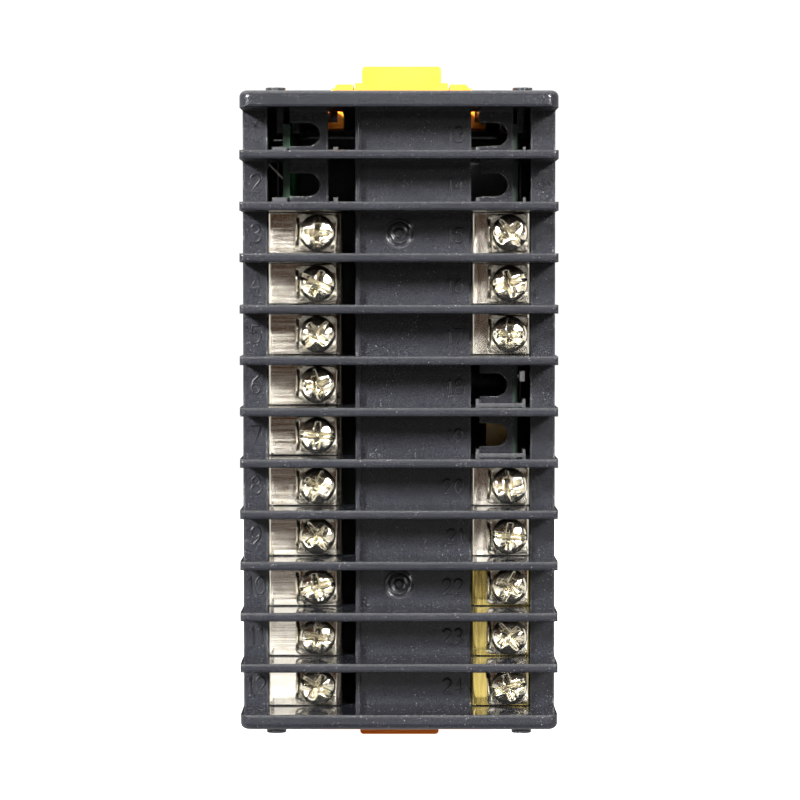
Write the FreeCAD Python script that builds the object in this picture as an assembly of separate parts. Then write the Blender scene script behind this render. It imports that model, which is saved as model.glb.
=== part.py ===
import FreeCAD, Part
import math
import os
from collections import namedtuple

# Panel-mounted process controller. Millimetres, +Z up. The origin is the centre of the panel
# plane: the front with display and keys faces -Y, the terminals face +Y. Seen from the rear,
# +X is to the left.

# Case
CASE_WIDTH = 44.6
CASE_DEPTH = 60.0  # panel plane to the rear edges of the fins
SIDE_WALL = 1.6
END_WALL = 2.1  # top and bottom walls
EDGE_CHAMFER = 0.5
TOP_STEP = 0.25  # how much thicker the top wall is over the terminal block
COLLAR_STEP = 1.0  # how far the locating collar stands out above and below
COLLAR_DEPTH = 0.8  # under the thinnest panel
LATCH_WIDTH = 8.0
LATCH_DEPTH = 2.0
LATCH_HEIGHT = 0.8
LATCH_PLAY = 0.2
LATCH_Y = 2.2
LATCH_Z = 25.0

# Terminal block. Depths are measured from the rear edges of the fins.
ROWS = 12
ROW_PITCH = 7.2
FIN = 1.25
FIN_CORNER = 0.6
FIN_EDGE = 0.45  # rear rims
END_CORNER = 1.5
END_EDGE = 0.9  # outer rims of the top and bottom plates
SHOULDER_WIDTH = 3.5
SHOULDER_DEPTH = 9.5
SEAT_DEPTH = 9.0
CENTRE_DEPTH = 10.5
DECK_DEPTH = 14.0
CENTRE_WALL = 1.5
POCKET_WALL = 1.0
DIVIDER = 0.72  # upright rib beside the first column
DIVIDER_EDGE = 0.25
WEB = 1.0
WEB_SLOT = 3.3
WEB_SLOT_DROP = 0.2  # below the middle of the row
RIB_HEIGHT = 0.85
RIB_PLAY = 0.05
LEDGE_HEIGHT = 0.27
NUB_RADIUS = 1.4
NUB_HEIGHT = 0.7
NUB_INSET = 5.0  # from the case side
NUB_SETBACK = 3.0
DIMPLE_GROOVES = ((1.75, 0.45, 0.22), (0.95, 0.5, 0.3))  # radius of ring and section, depth
DIMPLE_ROWS = (3, 10)

# Columns of terminals. Offsets run from a pocket's outer wall towards the middle of the case:
# widths of pocket and terminal plate, screw axis, widths of the outer and inner guide rib,
# limits of the web, the slot's open and round end, the board's outer face.
Column = namedtuple("Column", "side pocket plate screw ribs web slot board ledge")
FIRST = Column(
    side=1, pocket=12.55, plate=10.7, screw=7.15, ribs=(2.1, 0.65),
    web=(3.1, 8.6), slot=(3.1, 7.4), board=2.05, ledge=False,
)
SECOND = Column(
    side=-1, pocket=8.5, plate=8.4, screw=3.1, ribs=(0.4, 0.5),
    web=(2.35, 7.2), slot=(7.2, 3.2), board=1.7, ledge=True,
)
FIRST_ROWS = tuple(range(3, 13))
SECOND_ROWS = (3, 4, 5, 8, 9, 10, 11, 12)

# Terminals, screws and washers
SHEET = 0.6
TERMINAL_PLAY = 0.1  # to the fins
POCKET_PLAY = 0.05  # to the pocket's outer wall
BEND = 0.8
LIP = 2.0
LEG = 11.0
SCREW_RADIUS = 1.5
THREAD_PLAY = 0.05
SCREW_CLEARANCE = 0.4  # screw end to the web
HEAD_PLAY = 0.375  # head to the fins
HEAD_RIM = 1.2
HEAD_DOME = 0.8
RECESS_WIDTH = 0.85
RECESS_LENGTH = 3.4
RECESS_DEPTH = 1.1
DRIVER_SLOT = 0.7
DRIVER_SLOT_DEPTH = 0.7
SCREW_TURN = 67  # degrees from one screw to the next, as a driver happened to leave them
WASHER = 0.6
WASHER_PLAY = 0.2  # washer to the fins
WASHER_CORNER = 0.8
WASHER_LIP = 0.5
WASHER_LIP_GAP = 0.1  # lip to the screw head
WASHER_LIP_HEIGHT = 0.9
WASHER_TURN = 3  # largest angle in degrees by which a washer turned with its screw

# Mounting brackets
BRACKET_FRONT = 3.0
BRACKET_LENGTH = 21.0
BRACKET_WIDTH = 22.2
BRACKET_BASE = 2.6
RAIL_WIDTH = 2.4
RAIL_HEIGHT = 3.5
RAIL_SHOULDER = 1.8  # where the slope outside starts
RAIL_SLOPE = 1.33
TONGUE_WIDTH = 14.1
TONGUE_HEIGHT = 3.7
TAB_WIDTH = 12.0
TAB_HEIGHT = 6.2
TAB_THICKNESS = 2.2
TAB_CORNER = 0.5
FRONT_BAR = 2.0
FRONT_BAR_HEIGHT = 4.2
UPPER_SHIFT = -0.38  # sideways in its play
LOWER_SHIFT = -0.05
LEG_WIDTH = 0.9
LEG_INSETS = (1.4, 0.0)  # of the +X and the -X leg, from the base's edges
LEG_LENGTH = 6.0
FOOT_WIDTH = 2.6
FOOT_THICKNESS = 0.95
FOOT_PLAY = 0.15
SIDE_PLAY = 0.7  # of a bracket, to each side
SLIDE_PLAY = 0.1
SLIDE_FORWARD = 2.0
SLIDE_STOP = 3.0  # left between a bracket pushed right back and the deck
SLOT_DEPTH = 11.5  # slot ends, from the rear edges of the fins
WINDOW_PLAY = 0.5
RACK_WIDTH = 7.0
RACK_PITCH = 1.5
RACK_TOOTH = 0.6
RACK_START = 12.0
RACK_STOP = 4.0  # last tooth to the deck
RACK_CHANNEL = 0.4  # above the teeth
PAWL_PLAY = 0.1

# Bezel, gasket and window
GASKET = 1.0
GASKET_PLAY = 0.2
GASKET_INSET = 0.4
BEZEL_SIDE = 1.7  # how far the bezel stands out past the case sides
BEZEL_END = 3.325  # and past its top and bottom
BEZEL_DEPTH = 5.5
BEZEL_FACE = 2.4
BEZEL_CORNER = 2.0
BEZEL_EDGE = 0.8
SPIGOT_DEPTH = 5.0  # behind the panel plane
SPIGOT_PLAY = 0.1
SPIGOT_WALL = 1.2
WINDOW = 1.5
WINDOW_MARGIN = 3.5
WINDOW_LEDGE = 3.2
WINDOW_FIT = 0.1
WINDOW_CORNER = 1.0

# Keys and their switches
KEY_NAMES = ("mode", "shift", "down", "up")
KEY_HEIGHT = 7.0
KEY_GAP = 1.8  # between neighbouring caps
KEY_MARGIN = 0.7  # key row to the inside of the bezel
KEY_FOOT = 13.0  # key centres above the bezel's lower edge
KEY_BAND = 9.0  # key centres to the window's lower edge
KEY_RISE = 0.6
KEY_PLAY = 0.25
KEY_CORNER = 1.2
KEY_FLANGE = 0.8
KEY_FLANGE_PLAY = 0.1
KEY_TRAVEL = 0.5
STEM_RADIUS = 1.5
PLUNGER_RADIUS = 1.6
PLUNGER_LENGTH = 2.0
PLUNGER_RISE = 0.8  # out of the switch
PLUNGER_PLAY = 0.15
SWITCH = 6.0
SWITCH_HEIGHT = 3.4
POST_RADIUS = 1.0
POST_OFFSET = 1.1  # from the inside of the bezel's side
UPPER_POST = 14.5  # below the window's upper edge
LOWER_POST = 6.5  # above the key centres

# Boards
BOARD = 1.0
BOARD_GAP = 0.2
BOARD_EDGE = 0.3
GUIDE = 1.0
GUIDE_PLAY = 0.15
GUIDE_GRIP = 1.0
GUIDE_START = 6.0
GUIDE_STOP = 0.5  # clear of the terminals' legs
DISPLAY_BOARD = 1.6
DISPLAY_BOARD_Y = 2.0
DISPLAY_MARGIN = 0.8  # display to the window opening's sides
DISPLAY_GAP = 1.0  # display to the window
PROCESS_HEIGHT = 20.0
PROCESS_DROP = 6.5  # below the window's upper edge
SETPOINT_HEIGHT = 13.0
SETPOINT_DROP = 5.0  # below the process display
LAMP_COUNT = 4
LAMP_RADIUS = 1.5
LAMP_DROP = 8.0  # below the setpoint display
LAMP_PITCH = 8.0
HEADER_DEPTH = 5.4
HEADER_WIDTH = 2.5
HEADER_HEIGHT = 28.0

# Blocks on the main boards: how far they stand off the board, their size along Y and Z
Block = namedtuple("Block", "rise depth height")
CORE = Block(12.0, 16.0, 22.0)
WINDING = Block(9.5, 23.0, 14.0)
CORE_START = 10.0  # from the board's front edge
CORE_FOOT = 3.0  # from the board's lower edge
RELAY = Block(10.0, 20.0, 10.0)
RELAY_SETBACK = 7.8  # from the board's rear edge
RELAY_DROP = 3.0  # from the board's upper edge
RELAY_PITCH = 11.5
RELAY_EDGE = 0.5
FILM = Block(3.35, 10.0, 6.5)
FILM_SETBACK = 5.8
FILM_ROW = 7
FILM_EDGE = 1.0
FILM_DROP = 1.2  # below the middle of its row
CAN_RADIUS = 4.5
CAN_LENGTH = 16.0
CAN_EDGE = 0.8
CAN_START = 16.0
CAN_Z = 3.5
COUPLER = Block(3.5, 6.5, 4.6)
COUPLER_COUNT = 3
COUPLER_PITCH = 8.0
COUPLER_SETBACK = 3.0
COUPLER_DROP = 18.0
CHIP = Block(1.5, 12.0, 12.0)
CHIP_START = 10.0
CHIP_GAP = 4.375  # below the couplers
CONVERTER = Block(2.3, 8.0, 10.0)
CONVERTER_SETBACK = 8.0
CONVERTER_GAP = 4.0  # below the chip
PIN = Block(0.75, 3.0, 1.5)
PIN_NECK = 0.35  # head to the board
PIN_NECK_RADIUS = 0.3
PIN_ROW = 6
PIN_RISE = 1.0  # above the middle of its row
LEAD_RADIUS = 0.15
LEAD_SETBACK = 1.0  # from the board's rear edge
LEADS = ((1, -0.9, 0, 1.4), (2, 0.72, 46, 3.0))  # row, height above its middle, upward angle, length

# Worked out from the sizes above
REAR = CASE_DEPTH
SHOULDER = REAR - SHOULDER_DEPTH
SEAT = REAR - SEAT_DEPTH
CENTRE = REAR - CENTRE_DEPTH
DECK = REAR - DECK_DEPTH
BAY = ROW_PITCH - FIN
HALF_WIDTH = CASE_WIDTH / 2
HALF_HEIGHT = (ROWS * ROW_PITCH - FIN) / 2 + END_WALL
INNER_SIDE = HALF_WIDTH - SIDE_WALL
INNER_END = HALF_HEIGHT - END_WALL
POCKET_EDGE = HALF_WIDTH - SHOULDER_WIDTH
CENTRE_LEFT = POCKET_EDGE - FIRST.pocket - DIVIDER
CENTRE_RIGHT = SECOND.pocket - POCKET_EDGE
SCREW_END = DECK + WEB + SCREW_CLEARANCE
HEAD_RADIUS = BAY / 2 - HEAD_PLAY
FRONT = -GASKET
BEZEL_HALF_WIDTH = HALF_WIDTH + BEZEL_SIDE
BEZEL_HALF_HEIGHT = HALF_HEIGHT + BEZEL_END
BEZEL_FRONT = FRONT - BEZEL_DEPTH
BEZEL_INNER = BEZEL_FRONT + BEZEL_FACE
CAVITY_SIDE = INNER_SIDE - SPIGOT_PLAY - SPIGOT_WALL
CAVITY_END = INNER_END - SPIGOT_PLAY - SPIGOT_WALL
KEY_Z = KEY_FOOT - BEZEL_HALF_HEIGHT
KEY_PITCH = 2 * (CAVITY_SIDE - KEY_MARGIN) / len(KEY_NAMES)
KEY_WIDTH = KEY_PITCH - KEY_GAP
SWITCH_FRONT = DISPLAY_BOARD_Y - SWITCH_HEIGHT
STEM_END = SWITCH_FRONT - PLUNGER_RISE
WINDOW_HALF = BEZEL_HALF_WIDTH - WINDOW_MARGIN
WINDOW_TOP = BEZEL_HALF_HEIGHT - WINDOW_MARGIN
WINDOW_BOTTOM = KEY_Z + KEY_BAND
DISPLAY_FRONT = BEZEL_FRONT + WINDOW + DISPLAY_GAP
DISPLAY_HALF = WINDOW_HALF - WINDOW_LEDGE - DISPLAY_MARGIN
DISPLAY_REAR = DISPLAY_BOARD_Y + DISPLAY_BOARD
PROCESS_TOP = WINDOW_TOP - PROCESS_DROP
SETPOINT_TOP = PROCESS_TOP - PROCESS_HEIGHT - SETPOINT_DROP
LAMP_Z = SETPOINT_TOP - SETPOINT_HEIGHT - LAMP_DROP
BOARD_START = DISPLAY_REAR + BOARD_GAP
BOARD_END = DECK - BOARD_GAP
BOARD_HALF_HEIGHT = CAVITY_END - BOARD_EDGE
COUPLER_FOOT = BOARD_HALF_HEIGHT - COUPLER_DROP - COUPLER.height
CHIP_FOOT = COUPLER_FOOT - CHIP_GAP - CHIP.height
BRACKET_REAR = BRACKET_FRONT + BRACKET_LENGTH
LEG_FRONT = BRACKET_REAR - LEG_LENGTH
SLIDE_BACK = DECK - SLIDE_STOP - BRACKET_REAR
TINY = 1e-6


def vector(x, y, z):
    return FreeCAD.Vector(x, y, z)


def box(x, y, z):
    """Box between two limits along each axis, given in either order."""
    low = vector(min(x), min(y), min(z))
    return Part.makeBox(abs(x[1] - x[0]), abs(y[1] - y[0]), abs(z[1] - z[0]), low)


def rod(radius, start, direction, length):
    return Part.makeCylinder(radius, length, vector(*start), vector(*direction))


def prism(points, sweep):
    """Solid swept along a vector from the flat outline through the points."""
    corners = [vector(*p) for p in points]
    face = Part.Face(Part.makePolygon(corners + corners[:1]))
    return face.extrude(vector(*sweep))


def fuse(shapes):
    return shapes[0].multiFuse(shapes[1:]).removeSplitter()


def moved(shape, x):
    copy = shape.copy()
    copy.translate(vector(x, 0, 0))
    return copy


def edges_along(shape, axis, test=lambda middle: True):
    """Straight edges parallel to an axis whose middle passes the test."""
    direction = vector(*axis)
    picked = []
    for edge in shape.Edges:
        line = edge.Vertexes[-1].Point - edge.Vertexes[0].Point
        straight = isinstance(edge.Curve, Part.Line)
        if straight and line.cross(direction).Length < TINY and test(edge.CenterOfMass):
            picked.append(edge)
    return picked


def rounded_panel(half_width, z, y, corner):
    """Upright panel with its four corners rounded in front view."""
    panel = box((-half_width, half_width), y, z)
    return panel.makeFillet(corner, edges_along(panel, (0, 1, 0)))


def row_z(row):
    """Height of the middle of a row of bays, counted from the top."""
    return ((ROWS + 1) / 2 - row) * ROW_PITCH


def across(column, offset):
    """X of an offset measured inwards from a column's outer pocket wall."""
    return column.side * (POCKET_EDGE - offset)


def span(column, offsets):
    return (across(column, offsets[0]), across(column, offsets[1]))


def rib_offsets(column):
    """Limits of the two guide ribs, just inside a terminal's leg and lip."""
    outer = POCKET_PLAY + SHEET + RIB_PLAY
    inner = POCKET_PLAY + column.plate - SHEET - RIB_PLAY
    return (outer, outer + column.ribs[0]), (inner - column.ribs[1], inner)


def rear_plate(z, corner):
    """Plate across the case that reaches to the rear edge, with rounded rear corners."""
    plate = box((-HALF_WIDTH, HALF_WIDTH), (DECK, REAR), z)
    return plate.makeFillet(corner, edges_along(plate, (0, 0, 1), lambda p: p.y > SHOULDER))


def rear_rounding(z, levels):
    """Wider plate in the place of a rear plate, with its rear rims rounded at some levels."""
    plate = box((-CASE_WIDTH, CASE_WIDTH), (DECK, REAR), z)
    rear = edges_along(plate, (1, 0, 0), lambda p: p.y > SHOULDER)
    rims = [e for e in rear if min(abs(e.CenterOfMass.z - level) for level in levels) < TINY]
    return plate.makeFillet(FIN_EDGE, rims)


def plate_rim(plate, level):
    """Edges of a rear plate's upper or lower rim, without the one at the deck."""
    flat = [e for e in plate.Edges if e.BoundBox.ZLength < TINY]
    return [e for e in flat if abs(e.CenterOfMass.z - level) < TINY and e.CenterOfMass.y > DECK + TINY]


def fin(z):
    height = (z - FIN / 2, z + FIN / 2)
    return rear_plate(height, FIN_CORNER).common(rear_rounding(height, height))


def end_plate(side):
    """Rear end of the top (1) or bottom (-1) wall, rounded outside."""
    inner, outer = side * INNER_END, side * HALF_HEIGHT
    if side > 0:
        outer += TOP_STEP
    plate = rear_plate((inner, outer), END_CORNER)
    plate = plate.makeFillet(END_EDGE, plate_rim(plate, outer))
    return plate.common(rear_rounding((inner, outer), [inner]))


def tube_block(y, half_height):
    block = box((-HALF_WIDTH, HALF_WIDTH), y, (-half_height, half_height))
    return block.makeChamfer(EDGE_CHAMFER, edges_along(block, (0, 1, 0)))


def latch_blocks(half_width, grow):
    """Bars across the case where the bezel's latches snap into the side walls."""
    y = (LATCH_Y - grow, LATCH_Y + LATCH_DEPTH + grow)
    half = LATCH_WIDTH / 2 + grow
    return [box((-half_width, half_width), y, (z - half, z + half)) for z in (-LATCH_Z, LATCH_Z)]


def case_tube():
    """Tube closed at the rear by a solid deck, with the locating collar at its front."""
    outer = tube_block((FRONT, SHOULDER), HALF_HEIGHT)
    collar = tube_block((FRONT, COLLAR_DEPTH), HALF_HEIGHT + COLLAR_STEP)
    bore = box((-INNER_SIDE, INNER_SIDE), (FRONT, DECK), (-INNER_END, INNER_END))
    return outer.fuse(collar).cut([bore] + latch_blocks(HALF_WIDTH, LATCH_PLAY))


def deck_cuts():
    """Openings through the deck: two columns of pockets and the sunk centre panel."""
    full = (-INNER_END, INNER_END)
    cuts = [box(span(c, (0, c.pocket)), (DECK, SHOULDER), full) for c in (FIRST, SECOND)]
    cuts.append(box((CENTRE_RIGHT, CENTRE_LEFT), (CENTRE, SHOULDER), full))
    cuts.append(box((CENTRE_RIGHT + POCKET_WALL, CENTRE_LEFT), (DECK, CENTRE - CENTRE_WALL), full))
    return cuts


def slotted_web(column, z):
    """Web at the bottom of a pocket with a slot that is round at one end."""
    web = box(span(column, column.web), (DECK, DECK + WEB), (z - BAY / 2, z + BAY / 2))
    opening, end = span(column, column.slot)
    radius = WEB_SLOT / 2
    centre = end - math.copysign(radius, end - opening)
    middle = z - WEB_SLOT_DROP
    slot = box((opening, centre), (DECK, DECK + WEB), (middle - radius, middle + radius))
    return web.cut([slot, rod(radius, (centre, DECK, middle), (0, 1, 0), WEB)])


def bay_fittings(column, row):
    """Web, guide ribs and ledge of one terminal pocket."""
    z = row_z(row)
    floor = z - BAY / 2
    ribs = rib_offsets(column)
    pieces = [slotted_web(column, z)]
    for rib in ribs:
        pieces.append(box(span(column, rib), (DECK, SEAT - SHEET), (floor, floor + RIB_HEIGHT)))
    if column.ledge:
        between = span(column, (ribs[0][0], ribs[1][1]))
        pieces.append(box(between, (DECK, SEAT - SHEET), (floor, floor + LEDGE_HEIGHT)))
    return pieces


def dimple(row):
    """Gate mark in the centre panel: round grooves about a nib."""
    axis = vector(0, 1, 0)
    grooves = []
    for ring, section, depth in DIMPLE_GROOVES:
        centre = vector(0, CENTRE + section - depth, row_z(row))
        grooves.append(Part.makeTorus(ring, section, centre, axis))
    return grooves


def nubs():
    x, y = HALF_WIDTH - NUB_INSET, REAR - NUB_SETBACK
    pieces = []
    for sx in (-1, 1):
        for sz in (-1, 1):
            foot = (sx * x, y, sz * INNER_END)
            pieces.append(rod(NUB_RADIUS, foot, (0, 0, sz), END_WALL + NUB_HEIGHT))
    return pieces


def board_guides():
    """Pairs of ribs on the top and bottom walls that hold the two main boards' edges."""
    y = (GUIDE_START, SEAT - LEG - GUIDE_STOP)
    pieces = []
    for column in (FIRST, SECOND):
        outer = column.board - GUIDE_PLAY
        inner = column.board + BOARD + GUIDE_PLAY
        for offsets in ((outer - GUIDE, outer), (inner, inner + GUIDE)):
            for side in (-1, 1):
                reach = (side * (BOARD_HALF_HEIGHT - GUIDE_GRIP), side * INNER_END)
                pieces.append(box(span(column, offsets), y, reach))
    return pieces


def leg_places():
    """X of the middle of each leg of the upper bracket, without its shift."""
    edge = (BRACKET_WIDTH - LEG_WIDTH) / 2
    return [edge - LEG_INSETS[0], LEG_INSETS[1] - edge]


def bracket_cuts(side):
    """Slots for a bracket's legs in the top (1) or bottom (-1) wall, and room for its feet."""
    wall = (side * INNER_END, side * (HALF_HEIGHT + COLLAR_STEP))
    slot = (LEG_FRONT - SLIDE_FORWARD - WINDOW_PLAY, REAR - SLOT_DEPTH)
    window = (LEG_FRONT + SLIDE_BACK - WINDOW_PLAY, BRACKET_REAR + SLIDE_BACK + WINDOW_PLAY)
    room = (side * (INNER_END - FOOT_THICKNESS - 2 * FOOT_PLAY), side * INNER_END)
    half = LEG_WIDTH / 2 + SIDE_PLAY
    pieces = []
    for place in leg_places():
        x = side * place
        foot = (x, x + math.copysign(FOOT_WIDTH + SIDE_PLAY, x))
        pieces.append(box((x - half, x + half), slot, wall))
        pieces.append(box(foot, window, wall))
        pieces.append(box(foot, (slot[0], window[1]), room))
    return pieces


def rack(side):
    """Row of ratchet teeth along the top (1) or bottom (-1) wall, between the slots."""
    base = side * HALF_HEIGHT
    tip = side * (HALF_HEIGHT + RACK_TOOTH)
    edge = -RACK_WIDTH / 2
    teeth = []
    for i in range(int((DECK - RACK_STOP - RACK_START) / RACK_PITCH)):
        y = RACK_START + i * RACK_PITCH
        outline = [(edge, y, base), (edge, y + RACK_PITCH, base), (edge, y, tip)]
        teeth.append(prism(outline, (RACK_WIDTH, 0, 0)))
    return teeth


def divider():
    """Upright rib between the first column and the centre panel, with a rounded rear edge."""
    rib = box((CENTRE_LEFT, CENTRE_LEFT + DIVIDER), (DECK, SEAT), (-INNER_END, INNER_END))
    return rib.makeFillet(DIVIDER_EDGE, edges_along(rib, (0, 0, 1), lambda p: p.y > SEAT - TINY))


def case():
    pieces = [fin(row_z(row + 0.5)) for row in range(1, ROWS)]
    pieces += [end_plate(1), end_plate(-1), divider()]
    for row in range(1, ROWS + 1):
        pieces += bay_fittings(FIRST, row) + bay_fittings(SECOND, row)
    pieces += nubs() + board_guides() + rack(1) + rack(-1)
    body = fuse([case_tube().cut(deck_cuts())] + pieces)
    marks = [groove for row in DIMPLE_ROWS for groove in dimple(row)]
    return body.cut(marks + bracket_cuts(1) + bracket_cuts(-1))


def terminal(column, row):
    """Strip bent to a U over the guide ribs, with a leg that runs forward to the board."""
    z = row_z(row)
    half = BAY / 2 - TERMINAL_PLAY
    height = (z - half, z + half)
    start, end = POCKET_PLAY, POCKET_PLAY + column.plate
    foot = SEAT - LEG
    strip = fuse([
        box(span(column, (start, end)), (SEAT - SHEET, SEAT), height),
        box(span(column, (start, start + SHEET)), (foot, SEAT), height),
        box(span(column, (end - SHEET, end)), (SEAT - LIP, SEAT), height),
        box(span(column, (start, column.board)), (foot, foot + SHEET), height),
    ])
    strip = strip.makeFillet(BEND, edges_along(strip, (0, 0, 1), lambda p: p.y > SEAT - TINY))
    axis = (across(column, column.screw), SEAT - SHEET, z)
    return strip.cut(rod(SCREW_RADIUS + THREAD_PLAY, axis, (0, 1, 0), SHEET))


def terminal_screw(column, row):
    """Pan-head screw with a cross recess and a driver slot, turned to its own angle."""
    x, z = across(column, column.screw), row_z(row)
    under = SEAT + WASHER
    top = under + HEAD_RIM + HEAD_DOME
    ball = (HEAD_RADIUS**2 + HEAD_DOME**2) / (2 * HEAD_DOME)
    head = rod(HEAD_RADIUS, (x, under, z), (0, 1, 0), HEAD_RIM + HEAD_DOME)
    head = head.common(Part.makeSphere(ball, vector(x, top - ball, z)))
    shank = rod(SCREW_RADIUS, (x, SCREW_END, z), (0, 1, 0), under - SCREW_END)
    recess = (top - RECESS_DEPTH, top)
    long = RECESS_LENGTH / 2
    short = RECESS_WIDTH / 2
    slot = DRIVER_SLOT / 2
    cuts = [
        box((x - long, x + long), recess, (z - short, z + short)),
        box((x - short, x + short), recess, (z - long, z + long)),
        box((x - HEAD_RADIUS, x + HEAD_RADIUS), (top - DRIVER_SLOT_DEPTH, top), (z - slot, z + slot)),
    ]
    screw = head.fuse(shank).removeSplitter().cut(cuts)
    screw.rotate(vector(x, under, z), vector(0, 1, 0), (row + column.side) * SCREW_TURN)
    return screw


def terminal_washer(column, row):
    """Square washer with rounded corners and a lip turned up on its +X side."""
    x, z = across(column, column.screw), row_z(row)
    half = BAY / 2 - WASHER_PLAY
    lip_inner = x + HEAD_RADIUS + WASHER_LIP_GAP
    lip_outer = lip_inner + WASHER_LIP
    plate = box((x - half, lip_outer), (SEAT, SEAT + WASHER), (z - half, z + half))
    plate = plate.makeFillet(WASHER_CORNER, edges_along(plate, (0, 1, 0)))
    straight = half - WASHER_CORNER
    lip_y = (SEAT, SEAT + WASHER + WASHER_LIP_HEIGHT)
    lip = box((lip_inner, lip_outer), lip_y, (z - straight, z + straight))
    hole = rod(SCREW_RADIUS + THREAD_PLAY, (x, SEAT, z), (0, 1, 0), WASHER)
    washer = plate.fuse(lip).removeSplitter().cut(hole)
    turn = WASHER_TURN * math.sin((row + column.side) * SCREW_TURN)
    washer.rotate(vector(x, SEAT, z), vector(0, 1, 0), turn)
    return washer


def bracket_rails():
    """Two rails along a bracket's long edges, sloped outside."""
    half = BRACKET_WIDTH / 2
    base, top = HALF_HEIGHT + SLIDE_PLAY, HALF_HEIGHT + RAIL_HEIGHT
    inner = half - RAIL_SLOPE - RAIL_WIDTH
    rails = []
    for side in (-1, 1):
        shoulder = (half, HALF_HEIGHT + RAIL_SHOULDER)
        section = [(half, base), shoulder, (half - RAIL_SLOPE, top), (inner, top), (inner, base)]
        outline = [(side * x, BRACKET_FRONT, z) for x, z in section]
        rails.append(prism(outline, (0, BRACKET_LENGTH, 0)))
    return rails


def bracket_legs():
    """Legs that pass through the wall's slots, with feet turned outwards under the wall."""
    sole = INNER_END - FOOT_PLAY - FOOT_THICKNESS
    y = (LEG_FRONT, BRACKET_REAR)
    pieces = []
    for x in leg_places():
        outwards = math.copysign(1, x)
        inner = x - outwards * LEG_WIDTH / 2
        leg = (inner, inner + outwards * LEG_WIDTH)
        foot = (inner, inner + outwards * FOOT_WIDTH)
        pieces.append(box(leg, y, (sole, HALF_HEIGHT + BRACKET_BASE)))
        pieces.append(box(foot, y, (sole, sole + FOOT_THICKNESS)))
    return pieces


def bracket_tab():
    """Thumb tab at the rear end of the tongue."""
    base, top = HALF_HEIGHT + SLIDE_PLAY, HALF_HEIGHT + TAB_HEIGHT
    half = TAB_WIDTH / 2
    tab = box((-half, half), (BRACKET_REAR - TAB_THICKNESS, BRACKET_REAR), (base, top))
    return tab.makeFillet(TAB_CORNER, edges_along(tab, (0, 1, 0), lambda p: p.z > top - TINY))


def bracket_pawl():
    """Ratchet tooth under the tongue, held just clear of the rack."""
    edge = -RACK_WIDTH / 2
    root = HALF_HEIGHT + BRACKET_BASE
    tip = HALF_HEIGHT + RACK_TOOTH + PAWL_PLAY
    outline = [
        (edge, BRACKET_REAR - RACK_PITCH, root),
        (edge, BRACKET_REAR, root),
        (edge, BRACKET_REAR, tip),
    ]
    return prism(outline, (RACK_WIDTH, 0, 0))


def bracket():
    """Bracket on the top wall, in the middle of its play: base, bar, rails, tongue and legs."""
    base = HALF_HEIGHT + SLIDE_PLAY
    y = (BRACKET_FRONT, BRACKET_REAR)
    half = BRACKET_WIDTH / 2
    tongue = TONGUE_WIDTH / 2
    bar = (BRACKET_FRONT, BRACKET_FRONT + FRONT_BAR)
    pieces = [
        box((-half, half), y, (base, HALF_HEIGHT + BRACKET_BASE)),
        box((-half, half), bar, (base, HALF_HEIGHT + FRONT_BAR_HEIGHT)),
        box((-tongue, tongue), y, (base, HALF_HEIGHT + TONGUE_HEIGHT)),
        bracket_tab(),
    ]
    body = fuse(pieces + bracket_rails() + bracket_legs())
    channel_half = RACK_WIDTH / 2 + SIDE_PLAY
    channel_top = HALF_HEIGHT + RACK_TOOTH + RACK_CHANNEL
    body = body.cut(box((-channel_half, channel_half), y, (base, channel_top)))
    return fuse([body, bracket_pawl()])


def lower_bracket():
    """The same bracket turned half round the case's long axis."""
    body = bracket()
    body.rotate(vector(0, 0, 0), vector(0, 1, 0), 180)
    return moved(body, LOWER_SHIFT)


def key_places():
    """X of each key from left to right, seen from the front."""
    count = len(KEY_NAMES)
    return [(i - (count - 1) / 2) * KEY_PITCH for i in range(count)]


def key_block(grow, y):
    """Block with a key cap's outline, grown by a clearance, in the middle of the key row."""
    half = KEY_HEIGHT / 2 + grow
    return rounded_panel(KEY_WIDTH / 2 + grow, (KEY_Z - half, KEY_Z + half), y, KEY_CORNER)


def bezel_openings():
    """Window recess and opening, key holes and the cavity behind the bezel's face."""
    face = (BEZEL_FRONT, BEZEL_INNER)
    recess_y = (BEZEL_FRONT, BEZEL_FRONT + WINDOW)
    half = WINDOW_HALF - WINDOW_LEDGE
    opening_z = (WINDOW_BOTTOM + WINDOW_LEDGE, WINDOW_TOP - WINDOW_LEDGE)
    cavity_y = (BEZEL_INNER, SPIGOT_DEPTH)
    cuts = [
        rounded_panel(WINDOW_HALF, (WINDOW_BOTTOM, WINDOW_TOP), recess_y, WINDOW_CORNER),
        box((-half, half), face, opening_z),
        box((-CAVITY_SIDE, CAVITY_SIDE), cavity_y, (-CAVITY_END, CAVITY_END)),
    ]
    return cuts + [moved(key_block(KEY_PLAY, face), x) for x in key_places()]


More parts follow.
